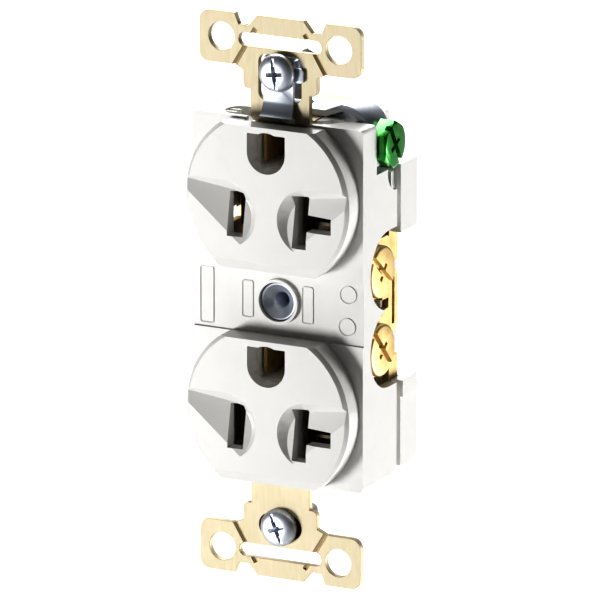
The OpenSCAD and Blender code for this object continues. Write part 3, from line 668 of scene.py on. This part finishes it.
low, high, middle = sizes("self_grounding_clip")
CLIP_T, CLIP_HALF_WIDTH, LEAF_HEIGHT = 0.5, 2.95, 3.5
front = -0.1 - CLIP_T / 2
crease, lip = low.z + 3.3, low.z + 0.4
object_mode()
bpy.ops.mesh.primitive_plane_add(size=1)
clip = bpy.context.object
leaf_size = Matrix.Diagonal((CLIP_HALF_WIDTH * 2 * MM, LEAF_HEIGHT * MM, 1, 1))
upright = Matrix.Rotation(math.pi / 2, 4, "X") @ leaf_size
placed(clip, Matrix.Translation(Vector((0, front, high.z - 2)) * MM) @ upright)
# Depth, height and the share by which the strip widens, at each bend of the flap and the lip.
DOWN = [(0, crease + 0.25, 0), (-0.15, crease - 0.25, 0.005), (-0.75, lip + 1.3, 0.025),
        (-1.0, lip + 0.95, 0.03), (-1.05, lip + 0.6, 0.03), (-0.85, lip + 0.3, 0.03),
        (-0.5, lip + 0.2, 0.03)]
edit(clip, "EDGE", lambda p, d: p.z < (high.z - 3.7) * MM)
at = Vector((0, 0, high.z - 3.75))
for lean, z, widen in DOWN:
    at = fold(at, lean, z)
    bpy.ops.transform.resize(value=(1 + widen, 1, 1))
pick(clip, "EDGE", lambda p, d: p.z > (high.z - 0.3) * MM)
at = Vector((0, 0, high.z - 0.25))
# Depth and height of each bend through the window and behind the strap.
BACK = [(0.25, high.z - 0.25), (3.3, high.z - 0.25), (3.6, high.z - 0.6), (3.6, low.z + 3.5)]
for back, z in BACK:
    at = fold(at, back, z)
bpy.ops.mesh.select_all(action="SELECT")
bpy.ops.mesh.remove_doubles(threshold=1e-6)
bpy.ops.mesh.normals_make_consistent(inside=False)
applied(clip, "SOLIDIFY", thickness=CLIP_T * MM, offset=0)
screw_middle = sizes("upper_box_screw")[2]
backwards = Matrix.Rotation(-math.pi / 2, 4, "X")
# The box screw's holes in the front leaf and in the back one: radius, near depth and far depth.
CLIP_HOLES = [(2.1, -2, 1.2), (1.8, 2.5, 5)]
for radius, near, far in CLIP_HOLES:
    hole = rod(radius, near, far, 48)
    cut(clip, placed(hole, Matrix.Translation((0, 0, screw_middle.z * MM)) @ backwards))
EAR_END = 4.9
ear = box_of((2.6, front - CLIP_T / 2, screw_middle.z - 1.5),
             (EAR_END, front + CLIP_T / 2, screw_middle.z + 1.1))
edit(ear, "EDGE", lambda p, d: p.x > (EAR_END - 0.1) * MM and abs(d.y) > 1e-6)
bpy.ops.mesh.bevel(offset=0.6 * MM, segments=3)
applied(clip, "BOOLEAN", operation="UNION", object=ear, solver="EXACT")
bpy.data.objects.remove(ear)
applied(clip, "BEVEL", width=0.1 * MM, segments=2, limit_method="ANGLE", angle_limit=math.radians(40))
clip.name = "self_grounding_clip_detailed"
stand_in(clip, "self_grounding_clip", "housing", strip_steel)
print("clip faces", len(clip.data.polygons))

# %% [markdown]
# ## Marks on the centre band
# The band between the faces carries thin raised frames and rings from the mould, where ratings
# and approval marks would go. They are kept blank here. A frame is a block with its corners
# rounded and its middle inset and pushed in, just below the band's face, and a ring is a short
# cylinder treated alike.

# %% Model the frames and rings
# The band's face, how far a blank stands out of it and reaches into it, and its outline.
BAND_Y, PROUD, SUNK = -0.6, 0.2, 0.1
LINE_WIDTH, LINE_DEPTH = 0.3, 0.27


def raised_outline(name, blank):
    """Turns a flat blank in X and Z into a thin outline that stands on the band."""
    edit(blank, "FACE", lambda p, n: n.y < -0.9)
    bpy.ops.mesh.inset(thickness=LINE_WIDTH * MM)
    bpy.ops.transform.translate(value=(0, LINE_DEPTH * MM, 0))
    applied(blank, "BEVEL", width=0.05 * MM, segments=2, limit_method="ANGLE",
            angle_limit=math.radians(40))
    blank.name = name
    paint(blank, nylon)
    smooth(blank)
    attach(blank, "housing")


# Middle in X and Z, width and height of each frame, and the middle of each ring.
FRAMES = {"left_frame": (-14.2, -0.4, 2.7, 10.4), "rating_frame": (-6.1, -0.2, 2.2, 6.8),
          "right_frame": (5.8, 0, 2.2, 6.8)}
RINGS = {"upper_ring": (13.8, 2.9), "lower_ring": (13.6, -3.0)}
RING_RADIUS = 1.65
for name, (x, z, width, height) in FRAMES.items():
    blank = box_of((x - width / 2, BAND_Y - PROUD, z - height / 2),
                   (x + width / 2, BAND_Y + SUNK, z + height / 2))
    edit(blank, "EDGE", lambda p, d: abs(d.y) > 1e-6)
    bpy.ops.mesh.bevel(offset=0.45 * MM, segments=4)
    raised_outline(name, blank)
for name, (x, z) in RINGS.items():
    blank = rod(RING_RADIUS, -SUNK, PROUD, 40)
    placed(blank, Matrix.Translation(Vector((x, BAND_Y, z)) * MM) @ Matrix.Rotation(math.pi / 2, 4, "X"))
    raised_outline(name, blank)
print("marks", list(FRAMES) + list(RINGS))

# %% [markdown]
# ## Finish
# The last step leaves edit mode and deselects everything.

# %% Leave edit mode
object_mode()
